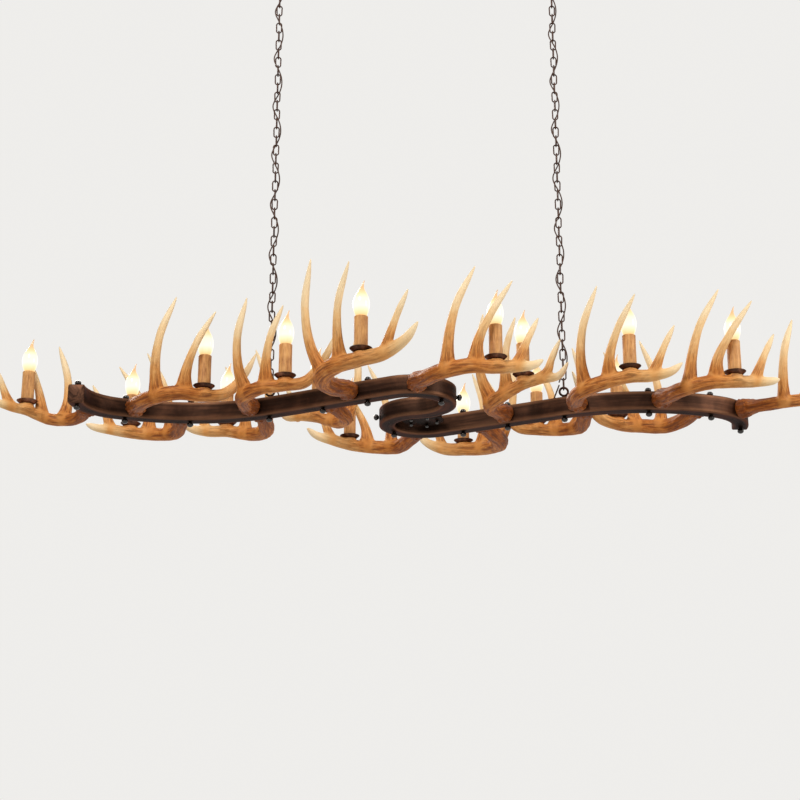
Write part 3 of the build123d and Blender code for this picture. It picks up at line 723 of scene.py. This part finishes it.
# %% Stained resin
resin = new_material("antler_resin", 0.0, 0.46, 0.2)
tip_share, clear = stored(resin, "tip"), stored(resin, "clear")
streak = noise(resin, 300, 6, 0.68, 0.6, "grain", (0.12, 1, 1))
blotch = noise(resin, 26, 4, 0.6, 0.6)
pores = noise(resin, 900, 2, 0.5)
shade = arithmetic(resin, "SUBTRACT", tip_share, 0.16)
shade = arithmetic(resin, "MULTIPLY_ADD", blotch, 0.44, shade)
base = ramp(resin, shade, [
    (0.02, 0.2, 0.052, 0.007), (0.16, 0.42, 0.135, 0.021), (0.3, 0.63, 0.25, 0.058),
    (0.46, 0.75, 0.385, 0.13), (0.64, 0.86, 0.58, 0.285), (0.86, 0.93, 0.75, 0.49)])
stain = ramp(resin, streak, [
    (0.36, 0.2, 0.07, 0.02), (0.5, 0.8, 0.64, 0.5), (0.6, 1, 1, 1), (1.0, 1, 1, 1)])
fade = map_range(resin, tip_share, 0.1, 0.85, 0.66, 0.2)
aged = mixed(resin, arithmetic(resin, "MULTIPLY", fade, clear), base, stain, "MULTIPLY")
dip = map_range(resin, stored(resin, "groove"), 0.0, 1.0, 0.0, -0.7)
settled = arithmetic(resin, "MULTIPLY", dip, fade)
settled = mixed(resin, settled, aged, (0.16, 0.045, 0.011, 1))
set_shader(resin, {"Base Color": settled, "Roughness": map_range(resin, streak, 0.4, 0.66)})
coarse = bump(resin, streak, 0.9, 0.001)
bump(resin, pores, 0.45, 0.0003, coarse)
for key, piece in antlers.items():
    finish_piece(piece, "frame", [f"antler_{key}"], "resin", resin)
print("made", resin.name)

# %% [markdown]
# A candle lamp is a stack of turned parts: a dish, a sleeve like a wax candle and a flame
# bulb. A profile of radius against height, turned about the upright, gives each one. All
# sixteen dishes are one mesh, and so are the sleeves.

# %% Turned shapes


def turned(profile, sides):
    """Rings of a profile of (radius, height) turned about the upright; a third number shifts
    a ring sideways."""
    profile = np.asarray(profile, float)
    turns = np.linspace(0, 2 * np.pi, sides, endpoint=False)
    shift = profile[:, 2] if profile.shape[1] > 2 else np.zeros(len(profile))
    x = profile[:, :1] * np.cos(turns) + shift[:, None]
    y = profile[:, :1] * np.sin(turns)
    return np.stack([x, y, np.broadcast_to(profile[:, 1:2], x.shape)], axis=-1)


def turned_copies(name, profile, sides, places, upside_down=False):
    """One mesh that holds the turned shape at every place."""
    rings = turned(profile, sides)
    if upside_down:
        rings = rings * np.array([1.0, -1.0, -1.0])
    return write_mesh(name, *capped_copies(rings, places))


def wall_copies(name, profile, sides, places, flipped=False):
    """One mesh that holds, at every place, a turned wall whose profile is a closed line."""
    rings = turned(profile, sides)
    quads = grid_faces(len(rings), sides, closed_rows=True)
    if flipped:
        quads = quads[:, ::-1]
    return write_mesh(name, *copied(rings.reshape(-1, 3), quads, places))


pan_radius, pan_floor = 22.6, 16.4
sleeve_radius, sleeve_wall, sleeve_height, floor_wall = 13.8, 1.8, 70.0, 1.5
lamp_spots = np.array(list(candle_places.values()))
dish = [(0.5, 0.02), (pan_floor - 1.5, 0.02), (pan_floor, 0.7), (19.6, 3.6), (21.6, 5.6),
        (pan_radius - 0.3, 6.1), (pan_radius, 6.6), (pan_radius - 0.3, 7.0),
        (pan_radius - 1.1, 6.9), (20.2, 5.9), (18.3, 4.0), (15.6, 1.9), (14.2, floor_wall),
        (0.5, floor_wall)]
pans = turned_copies("drip_pans_turned", dish, 40, lamp_spots)
finish_piece(pans, "frame", ["drip_pans"], "dark_bronze", bronze_pans_painted_light)
top = floor_wall + sleeve_height
inner = sleeve_radius - sleeve_wall
# The outer face as distances inside the sleeve's radius, with their heights
face = [(0.3, floor_wall + 0.1), (0, floor_wall + 1.2), (0.15, 20.0), (0.3, 45.0), (0.2, top - 3),
        (0, top - 1.4), (0.4, top - 0.3), (1.0, top)]
sleeve = [(inner, floor_wall + 0.3), *((sleeve_radius - depth, z) for depth, z in face),
          (inner + 0.2, top - 0.4), (inner, top - 1.5), (inner, 40.0)]
sleeves = wall_copies("candle_sleeves_turned", sleeve, 36, lamp_spots)
print("dishes", len(pans.data.polygons), "faces, sleeves", len(sleeves.data.polygons))

# %% Aged sleeve finish
sleeve_paint = new_material("sleeve_resin", 0.0, 0.5, 0.25)
runs = noise(sleeve_paint, 260, 5, 0.6, 0.5, None, (1, 1, 0.12))
cloud = noise(sleeve_paint, 42, 4, 0.6)
tone = arithmetic(sleeve_paint, "MULTIPLY", cloud, 0.4)
tone = arithmetic(sleeve_paint, "MULTIPLY_ADD", runs, 0.6, tone)
set_shader(sleeve_paint, {"Base Color": ramp(sleeve_paint, tone, [
    (0.3, 0.24, 0.095, 0.03), (0.43, 0.48, 0.22, 0.08), (0.58, 0.7, 0.365, 0.135),
    (0.74, 0.82, 0.52, 0.235)])})
bump(sleeve_paint, runs, 0.4, 0.0005)
finish_piece(sleeves, "frame", ["candle_sleeves"], "sleeve_resin", sleeve_paint)
print("made", sleeve_paint.name)

# %% [markdown]
# The bulbs are lit. Their glass is a thin bent flame, and the light inside is strongest at
# the belly, so the colour that the surface gives off goes from amber at the neck over warm
# white to amber at the tip.

# %% Flame bulbs
bulb_height = 76.0
bulb_profile = np.array([
    (9.0, 0.3, 0), (10.6, 2.0, 0), (12.4, 6.0, 0), (14.8, 13.0, 0), (16.3, 20.0, 0),
    (16.7, 26.5, 0), (15.8, 34.0, 0.1), (13.2, 42.0, 0.3), (9.6, 49.0, 0.6), (6.2, 55.0, 1.0),
    (3.9, 60.0, 1.6), (2.5, 65.0, 2.6), (1.6, 70.0, 4.0), (0.9, 74.6, 5.5), (0.4, 75.8, 6.0)])
bulb_points, bulb_quads, bulb_tips = capped(turned(smooth_line(bulb_profile, 34)[0], 28))
glow_height = bulb_points[:, 2] / bulb_height
bulb_glass = new_material("bulb_glass", 0.0, 0.08, 0.6)
glow = ramp(bulb_glass, stored(bulb_glass, "level"), [
    (0.0, 1.0, 0.62, 0.24), (0.1, 1.0, 0.82, 0.46), (0.24, 1.0, 0.97, 0.84),
    (0.46, 1.0, 0.95, 0.76), (0.62, 1.0, 0.72, 0.36), (0.78, 0.8, 0.46, 0.2),
    (1.0, 0.55, 0.3, 0.14)])
set_shader(bulb_glass, {"Emission Color": glow, "Emission Strength": 1.0})
mottled(bulb_glass, 60, 2, 0.5, [(0.3, 0.16, 0.1, 0.05), (0.7, 0.22, 0.15, 0.08)])
for key, place in candle_places.items():
    foot = place + np.array([0, 0, floor_wall + sleeve_height])
    bulb = write_mesh(f"bulb_{key}_glass", bulb_points + foot, bulb_quads, bulb_tips,
                      {"level": glow_height})
    finish_piece(bulb, "frame", [f"bulb_{key}"], "bulb_glass", bulb_glass)
print("bulbs", len(candle_places))

# %% [markdown]
# Cap nuts are small glossy domes on a short skirt. The same turned profile stands on the tube,
# hangs under it, and, tipped on its side, sits on both faces of the tight bends.

# %% Ball nuts


def ball_profile(radius, height):
    """A skirt, then a dome whose radius follows a circle."""
    turns = np.linspace(0.16, 0.97, 12) * np.pi
    dome = np.stack([np.sin(turns), -np.cos(turns)], axis=-1)
    dome = dome * np.array([radius, height * 0.46]) + np.array([0, height * 0.53])
    skirt = [(radius * 0.4, 0.05), (radius * 0.62, 0.1)]
    return np.concatenate([skirt, dome, [(0.2, height * 0.985)]])


stud_stations = np.array([scroll_end - 112, scroll_end + 59, run_end - 119, run_end + 194,
                          wing_end - 18, route_length - 10])
stud_xy = on_line(stud_stations)[0]
chain_x = 314.0
stud_spots = np.concatenate([stud_xy, -stud_xy])
under = np.concatenate([stud_spots, [(chain_x, 0), (-chain_x, 0)]])
nut = ball_profile(6.9, 12.0)
nut_steel = new_material("black_nickel", 0.2, 0.2, 0.6)
scuffs = mottled(nut_steel, 420, 4, 0.6, [
    (0.35, 0.01, 0.008, 0.008), (0.7, 0.03, 0.024, 0.022)])
set_shader(nut_steel, {"Roughness": map_range(nut_steel, scuffs, 0.06, 0.22)})
over_points = np.insert(stud_spots, 2, bar_top, axis=1)
under_points = np.insert(under, 2, bar_bottom, axis=1)
nuts_over = turned_copies("ball_nuts_over", nut, 24, over_points)
nuts_under = turned_copies("ball_nuts_under", nut, 24, under_points, upside_down=True)


def sideways_nuts(name, profile, station, reach, facing):
    """The turned nut with its upright laid along the tube's side, and its half-turned twin."""
    point, heading = on_line(station)
    outward = np.array([-heading[1], heading[0], 0.0]) * facing
    rings = turned(profile, 24)
    first = np.cross(outward, straight_up)
    tipped = rings[..., :1] * first + rings[..., 1:2] * straight_up + rings[..., 2:] * outward
    tipped = tipped + np.array([*point, bar_middle]) + outward * reach
    points, quads, tips = capped(tipped)
    twin = points * np.array([-1, -1, 1.0])
    return write_mesh(name, *joined((points, quads, tips), (twin, quads, tips)))


side_station, side_reach = 106.0, bar_width / 2 + 0.2
nuts_outer = sideways_nuts("ball_nuts_outer", nut, side_station, side_reach, 1)
low_nut = ball_profile(6.5, 5.0)
nuts_inner = sideways_nuts("ball_nuts_inner", low_nut, side_station, side_reach, -1)
for piece in (nuts_over, nuts_under, nuts_outer, nuts_inner):
    finish_piece(piece, "frame", ["ball_nuts"], "black_nickel", nut_steel)
print("nuts over", len(over_points), "under", len(under_points))

# %% [markdown]
# In the back bend a round box hides the joints of the wires. Its cover is a dished disc with
# five cap nuts, held up by a strap that lies on the tube.

# %% Junction box, cover and its nuts
scroll_turn = np.radians(scroll_heading)
box_xy = scroll_radius * np.array([np.sin(scroll_turn), -np.cos(scroll_turn)])
box_height, cover_thickness, cover_nut_circle, strap_thickness = 24.0, 2.0, 31.0, 4.0
cover_top = bar_top - box_height
cover_bottom = cover_top - cover_thickness
cover = [(0.5, 0), (12, 0.1), (38, 0.2), (42, 0.6), (43.6, 0.2), (45.2, 0.2), (45.6, 0.9),
         (45.2, 1.9), (20, 1.95), (0.5, 1.95)]
wall = [(0.5, 0.05), (40, 0.05), (41.5, 0.8), (41.6, 12), (41.6, 23), (41, 23.95), (0.5, 23.95)]
for node, profile, level in (("cover", cover, cover_bottom), ("box", wall, cover_top)):
    piece = turned_copies(f"junction_{node}_turned", profile, 64, [(*box_xy, level)])
    finish_piece(piece, "frame", [f"junction_{node}"], "dark_bronze", bronze)
fifths = 2 * np.pi / 5 * np.arange(5)
ring_of_five = cover_nut_circle * np.stack([np.cos(fifths), np.sin(fifths)], axis=-1)
small_spots = np.insert(box_xy + ring_of_five, 2, cover_bottom, axis=1)
small_nut = ball_profile(4.4, 8.0)
small_nuts = turned_copies("cover_nuts_turned", small_nut, 20, small_spots, upside_down=True)
finish_piece(small_nuts, "frame", ["cover_nuts"], "black_nickel", nut_steel)
strap_spots = [(box_xy[0], box_xy[1] + s, bar_top + strap_thickness)
               for s in (scroll_radius, -scroll_radius)]
screw_shank = [(0.5, -strap_thickness), (2.9, -strap_thickness), (2.9, 0.02)]
strap_screw = np.concatenate([screw_shank, nut])
strap_nuts = turned_copies("strap_screws_turned", strap_screw, 24, strap_spots)
finish_piece(strap_nuts, "frame", ["strap_screws"], "black_nickel", nut_steel)
print("junction box at", np.round(box_xy, 1))

# %% [markdown]
# A chain link is a round wire along a stadium: two half circles joined by straight sides.
# The same closed line, with other sizes, makes the top links, the eyes and the hanging loops.

# %% Links, eyes and loops


def stadium(half_width, half_length, steps):
    """Closed line in the XZ plane: half circles of the half width, and straight sides between."""
    turns = np.linspace(0, 2 * np.pi, steps, endpoint=False)
    reach = half_length - half_width
    upper = np.sign(np.sin(turns) + 1e-9)
    return np.stack([half_width * np.cos(turns), 0 * turns,
                     half_width * np.sin(turns) + reach * upper], axis=-1)


def wire_ring(half_width, half_length, radius, steps, sides):
    """Round wire along the stadium: rings of points, closed both ways."""
    line = stadium(half_width, half_length, steps)
    direction = np.roll(line, -1, axis=0) - np.roll(line, 1, axis=0)
    direction /= np.linalg.norm(direction, axis=1, keepdims=True)
    level = np.array([0, 1.0, 0])
    outward = np.cross(direction, level)
    turns = np.linspace(0, 2 * np.pi, sides, endpoint=False)[None, :, None]
    rings = line[:, None] + radius * (outward[:, None] * np.cos(turns) + level * np.sin(turns))
    return rings.reshape(-1, 3), grid_faces(steps, sides, closed_rows=True)


def quarter_turned(points):
    """The points turned a quarter about the upright."""
    return points[:, [1, 0, 2]] * np.array([-1, 1, 1.0])


link_half, wire, pitch, gap, link_count = 5.9, 1.6, 22.0, 0.3, 44
link_length = pitch + 2 * wire + gap
chain_top, top_link_upper = -78.6, -56.6
link_points, link_quads = wire_ring(link_half, link_length / 2, wire * 0.98, 16, 8)
middles = chain_top - link_length / 2 - pitch * np.arange(link_count)
chain_iron = new_material("chain_iron", 0.35, 0.5, 0.4)
rust = mottled(chain_iron, 260, 5, 0.6, [
    (0.3, 0.022, 0.009, 0.006), (0.55, 0.055, 0.022, 0.013), (0.75, 0.12, 0.052, 0.03)])
bump(chain_iron, rust, 0.4, 0.0004)
for side_name, half_turn in halves.items():
    x = half_turn[0] * chain_x
    spots = np.stack([np.full(link_count, x), np.zeros(link_count), middles], axis=-1)
    chain = write_mesh(f"chain_{side_name}_links", *joined(
        copied(link_points, link_quads, spots[0::2]),
        copied(quarter_turned(link_points), link_quads, spots[1::2])))
    finish_piece(chain, f"hanger_{side_name}", [f"chain_{side_name}"], "chain_iron", chain_iron)
    spot = [(x, 0, top_link_upper - link_length / 2)]
    top_link = write_mesh(f"top_link_{side_name}_ring",
                          *copied(quarter_turned(link_points), link_quads, spot))
    finish_piece(top_link, f"link_{side_name}", [f"top_link_{side_name}"], "chain_iron", chain_iron)
print("links on each chain", len(middles), "faces a link", len(link_quads))

# %% Eyes on the tube and loops under the canopies
eye_level, loop_level, ring_wire = -1054.7, -50.5, 2.45
pair = np.array([(chain_x, 0, 0), (-chain_x, 0, 0)])


def ring_and_posts(name, ring_size, ring_radius, level, posts):
    """A wire ring at both chains, with turned posts given as a profile and a level."""
    ring, faces = wire_ring(ring_size, ring_size, ring_radius, 32, 12)
    parts = [(*copied(ring, faces, pair + np.array([0, 0, level])), np.zeros((0, 3), int))]
    for profile, height in posts:
        parts.append(capped_copies(turned(profile, 24), pair + np.array([0, 0, height])))
    return write_mesh(name, *joined(*parts))


neck = [(0.5, 0.02), (5.4, 0.02), (5.8, 0.6), (5.6, 2.2), (4.4, 3.4), (3.6, 5.0), (3.0, 6.3),
        (0.5, 6.4)]
shank = [(0.5, 0), (2.9, 0.02), (2.9, bar_height), (0.5, bar_height + 0.02)]
eyes = ring_and_posts("eye_bolts_turned", 9.0, ring_wire, eye_level,
                      [(neck, bar_top), (shank, bar_bottom)])
finish_piece(eyes, "frame", ["eye_bolts"], "dark_bronze", bronze)
collar = [(0.5, 0), (5.5, 0.1), (7.6, 1.4), (8.0, 3.6), (7.2, 6.0), (6.0, 7.9), (0.5, 8.0)]
stem = [(0.5, 0), (4.2, 0), (4.2, 31.5), (0.5, 31.9)]
loops = ring_and_posts("hanging_loops_turned", 10.5, ring_wire, loop_level,
                       [(collar, -40.0), (stem, -32.0)])
finish_piece(loops, "ceiling", ["hanging_loops"], "dark_bronze", bronze)
print("faces of the eyes", len(eyes.data.polygons))

# %% Canopies
canopy_wall = 1.4
outside = np.array([(54.6, -0.1), (55.2, -2.0), (54.4, -6.0), (52.5, -11.0), (49.0, -17.0),
                    (43.0, -22.5), (34.0, -27.0), (24.0, -30.0), (14.0, -31.4), (5.3, -31.9)])
inside = outside[::-1] + np.array([-canopy_wall, canopy_wall])
inside[0, 0], inside[-1] = 5.3, (53.2, -0.1)
canopies = wall_copies("canopies_turned", np.concatenate([outside, inside]), 72, pair, flipped=True)
finish_piece(canopies, "ceiling", ["canopies"], "dark_bronze", bronze)
print("canopies", len(canopies.data.polygons), "faces")

# %% [markdown]
# A thin cloth cord climbs each chain in slow left-handed turns. It is a smooth spline whose
# control points stand on a helix. Its two short ends belong to the tube and to the canopy.

# %% Cords
cord_cloth = new_material("cord_cloth", 0.0, 0.8, 0.3)
weave = mottled(cord_cloth, 1500, 3, 0.6, [
    (0.35, 0.03, 0.012, 0.007), (0.65, 0.1, 0.048, 0.028)])
set_shader(cord_cloth, {"Sheen Weight": 0.2})
bump(cord_cloth, weave, 0.5, 0.0003)
cord_radius, orbit, cord_turns, steps_a_turn = 1.5, 9.9, 8, 9
cord_low, cord_high = -1032.1, -68.0


def spline_cord(name, points):
    """A round cord on a smooth spline with these control points in millimetres."""
    curve = bpy.data.curves.new(name, "CURVE")
    curve.dimensions = "3D"
    curve.bevel_depth = cord_radius * MM
    curve.bevel_resolution = 3
    curve.use_fill_caps = True
    spline = curve.splines.new("NURBS")
    spline.points.add(len(points) - 1)
    values = np.concatenate([np.asarray(points) * MM, np.ones((len(points), 1))], axis=1)
    spline.points.foreach_set("co", values.ravel())
    spline.order_u = 3
    spline.use_endpoint_u = True
    spline.resolution_u = 6
    piece = bpy.data.objects.new(name, curve)
    scene.collection.objects.link(piece)
    return piece


share = np.linspace(0, 1, cord_turns * steps_a_turn + 1)
wind = np.radians(155.0) - 2 * np.pi * cord_turns * share
helix = np.stack([chain_x + orbit * np.cos(wind), orbit * np.sin(wind),
                  cord_low + (cord_high - cord_low) * share], axis=-1)[::-1]
lead_station = 548.0
lead_x, lead_y = on_line(lead_station)[0]
side_x, side_y = helix[0, 0], helix[0, 1]
foot_x, foot_y = helix[-1, 0], helix[-1, 1]
upper_end = [(chain_x - 20, side_y + 1, -30.6), (chain_x - 20, side_y + 1, -40.0),
             (side_x, side_y + 1, cord_high + 6.0)]
lower_end = [(lead_x, lead_y, bar_top - 2.5), (lead_x, lead_y, bar_top + 4.0),
             (foot_x - 5.4, foot_y + 3, cord_low - 20.0), (foot_x, foot_y, cord_low - 6.0)]
for side_name, flip in halves.items():
    wound = spline_cord(f"cord_{side_name}_wound", helix * flip)
    finish_piece(wound, f"hanger_{side_name}", [f"cord_{side_name}"], "cord_cloth", cord_cloth)
    above = spline_cord(f"cord_{side_name}_upper_end", upper_end * flip)
    finish_piece(above, "ceiling", ["cord_ends_ceiling"], "cord_cloth", cord_cloth)
    below = spline_cord(f"cord_{side_name}_lower_end", lower_end * flip)
    finish_piece(below, "frame", ["cord_ends_frame"], "cord_cloth", cord_cloth)
    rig.cord(wound, exit=tuple(helix[0] * flip * MM), length=1.07, diameter=0.003,
            far_end="object", stiffness="medium", lay="taut", with_pieces=[above, below])
print("cord spline", len(helix), "points")

# %% [markdown]
# The CAD's own nodes that stay in view get finishes too: the bars on the ceiling, the strap,
# the studs, the threaded pipes and the lamp sockets.

# %% Finishes for the nodes that stay
pipe_brass = new_material("brass_pipe", 0.95, 0.32, 0.5)
mottled(pipe_brass, 300, 4, 0.6, [(0.35, 0.35, 0.21, 0.07), (0.7, 0.62, 0.42, 0.16)])
socket_white = new_material("socket_plastic", 0.0, 0.5, 0.4)
mottled(socket_white, 120, 4, 0.6, [
    (0.3, 0.62, 0.56, 0.45), (0.7, 0.82, 0.78, 0.68)])
stay = {"crossbars": bronze, "box_strap": bronze, "studs": nut_steel,
        "candle_pipes": pipe_brass, "lamp_sockets": socket_white}
for node, material in stay.items():
    frame["nodes"][node].data.materials.clear()
    frame["nodes"][node].data.materials.append(material)
print("nodes that stay in view:", [n for n, o in frame["nodes"].items() if not o.hide_render])

# %% [markdown]
# The photograph looks up at the lights from about 17 degrees below. The camera stands that
# far down and back, and aims a little left of the middle, because the object is off centre.

# %% Camera
tilt = np.radians(17.0)
sensor_width, picture_width = 36.0, 800.0
# Metres to the aim, the picture's points for a metre there, and the aim's shift in points
camera_distance, picture_scale, points_right, points_down = 3.4, 470.0, 17.0, 16.7
middle = np.array([0.0, 0.0, bar_bottom * MM])
view = np.array([0.0, np.cos(tilt), np.sin(tilt)])
upright = np.array([0.0, -np.sin(tilt), np.cos(tilt)])
aim = middle - np.array([points_right / picture_scale, 0, 0])
aim = aim + upright * (points_down / picture_scale)
camera_data = bpy.data.cameras.new("camera")
camera_data.sensor_width = sensor_width
camera_data.lens = sensor_width * picture_scale * camera_distance / picture_width
camera_data.clip_end = 150.0
camera = bpy.data.objects.new("camera", camera_data)
camera.location = Vector(aim - view * camera_distance)
camera.rotation_euler = Vector(view).to_track_quat("-Z", "Y").to_euler()
scene.collection.objects.link(camera)
scene.camera = camera
print("lens", round(camera_data.lens, 1), "mm, camera at", np.round(np.array(camera.location), 2))

# %% [markdown]
# Soft studio light: a large panel in front on the left and above, one on the right and one
# behind on the left. The world and the floor are pale to the camera, in glossy reflections and
# through glass, and dimmer as light, so colours stay as written.

# %% Lights, floor and world


def panel(name, spot, size, watts, colour):
    """A round lamp that faces the object's middle."""
    light = bpy.data.lights.new(name, "AREA")
    light.shape, light.size, light.energy, light.color = "DISK", size, watts, colour
    lamp = bpy.data.objects.new(name, light)
    lamp.location = spot
    facing = Vector((0, 0, -1.04)) - Vector(spot)
    lamp.rotation_euler = facing.to_track_quat("-Z", "Y").to_euler()
    scene.collection.objects.link(lamp)


def background_rays(owner):
    """One for rays from the camera, off gloss and through glass, and zero for light."""
    rays = add_node(owner, "ShaderNodeLightPath").outputs
    seen = arithmetic(owner, "MAXIMUM", rays["Is Camera Ray"], rays["Is Glossy Ray"])
    return arithmetic(owner, "MAXIMUM", seen, rays["Is Transmission Ray"])


panel("front_light", (-1.2, -2.8, 1.3), 1.5, 96, (1.0, 0.95, 0.88))
panel("right_light", (2.6, -1.2, -0.2), 1.2, 38, (1.0, 0.93, 0.84))
panel("back_light", (-1.4, 2.6, 0.7), 1.4, 48, (1.0, 0.94, 0.86))
pale = (0.86, 0.85, 0.83, 1)
world = bpy.data.worlds.new("studio")
scene.world = world
world.use_nodes = True
world.node_tree.nodes.clear()
lit_world, seen_world = [
    add_node(world, "ShaderNodeBackground", {"Color": colour, "Strength": strength})
    for colour, strength in (((0.95, 0.93, 0.9, 1), 0.33), (pale, 1.0))]
choice = add_node(world, "ShaderNodeMixShader", {
    0: background_rays(world), 1: lit_world.outputs[0], 2: seen_world.outputs[0]})
add_node(world, "ShaderNodeOutputWorld", {0: choice.outputs[0]})
floor_level, floor_reach, floor_glow = -2600.0, 45000.0, 0.78
corners = np.array([(-1, -1), (1, -1), (1, 1), (-1, 1)]) * floor_reach
square = np.insert(corners, 2, floor_level, axis=1)
floor = write_mesh("floor", square, np.array([[0, 1, 2, 3]]))
floor_paint = new_material("floor_paint", 0.0, 0.9, 0.2)
in_view = background_rays(floor_paint)
set_shader(floor_paint, {
    "Emission Color": pale,
    "Emission Strength": arithmetic(floor_paint, "MULTIPLY", in_view, floor_glow),
    "Base Color": mixed(floor_paint, in_view, (0.8, 0.79, 0.77, 1), (0.3, 0.3, 0.29, 1))})
floor.data.materials.append(floor_paint)
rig.stage(floor)
print("lights", len(bpy.data.lights))

# %% Finish
json.dump({"cad": [list(map(float, c)) for c in cad_box], "visual": [list(map(float, c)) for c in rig.bounds()]},
          open("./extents.json", "w"))
print("box", json.load(open("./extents.json")))
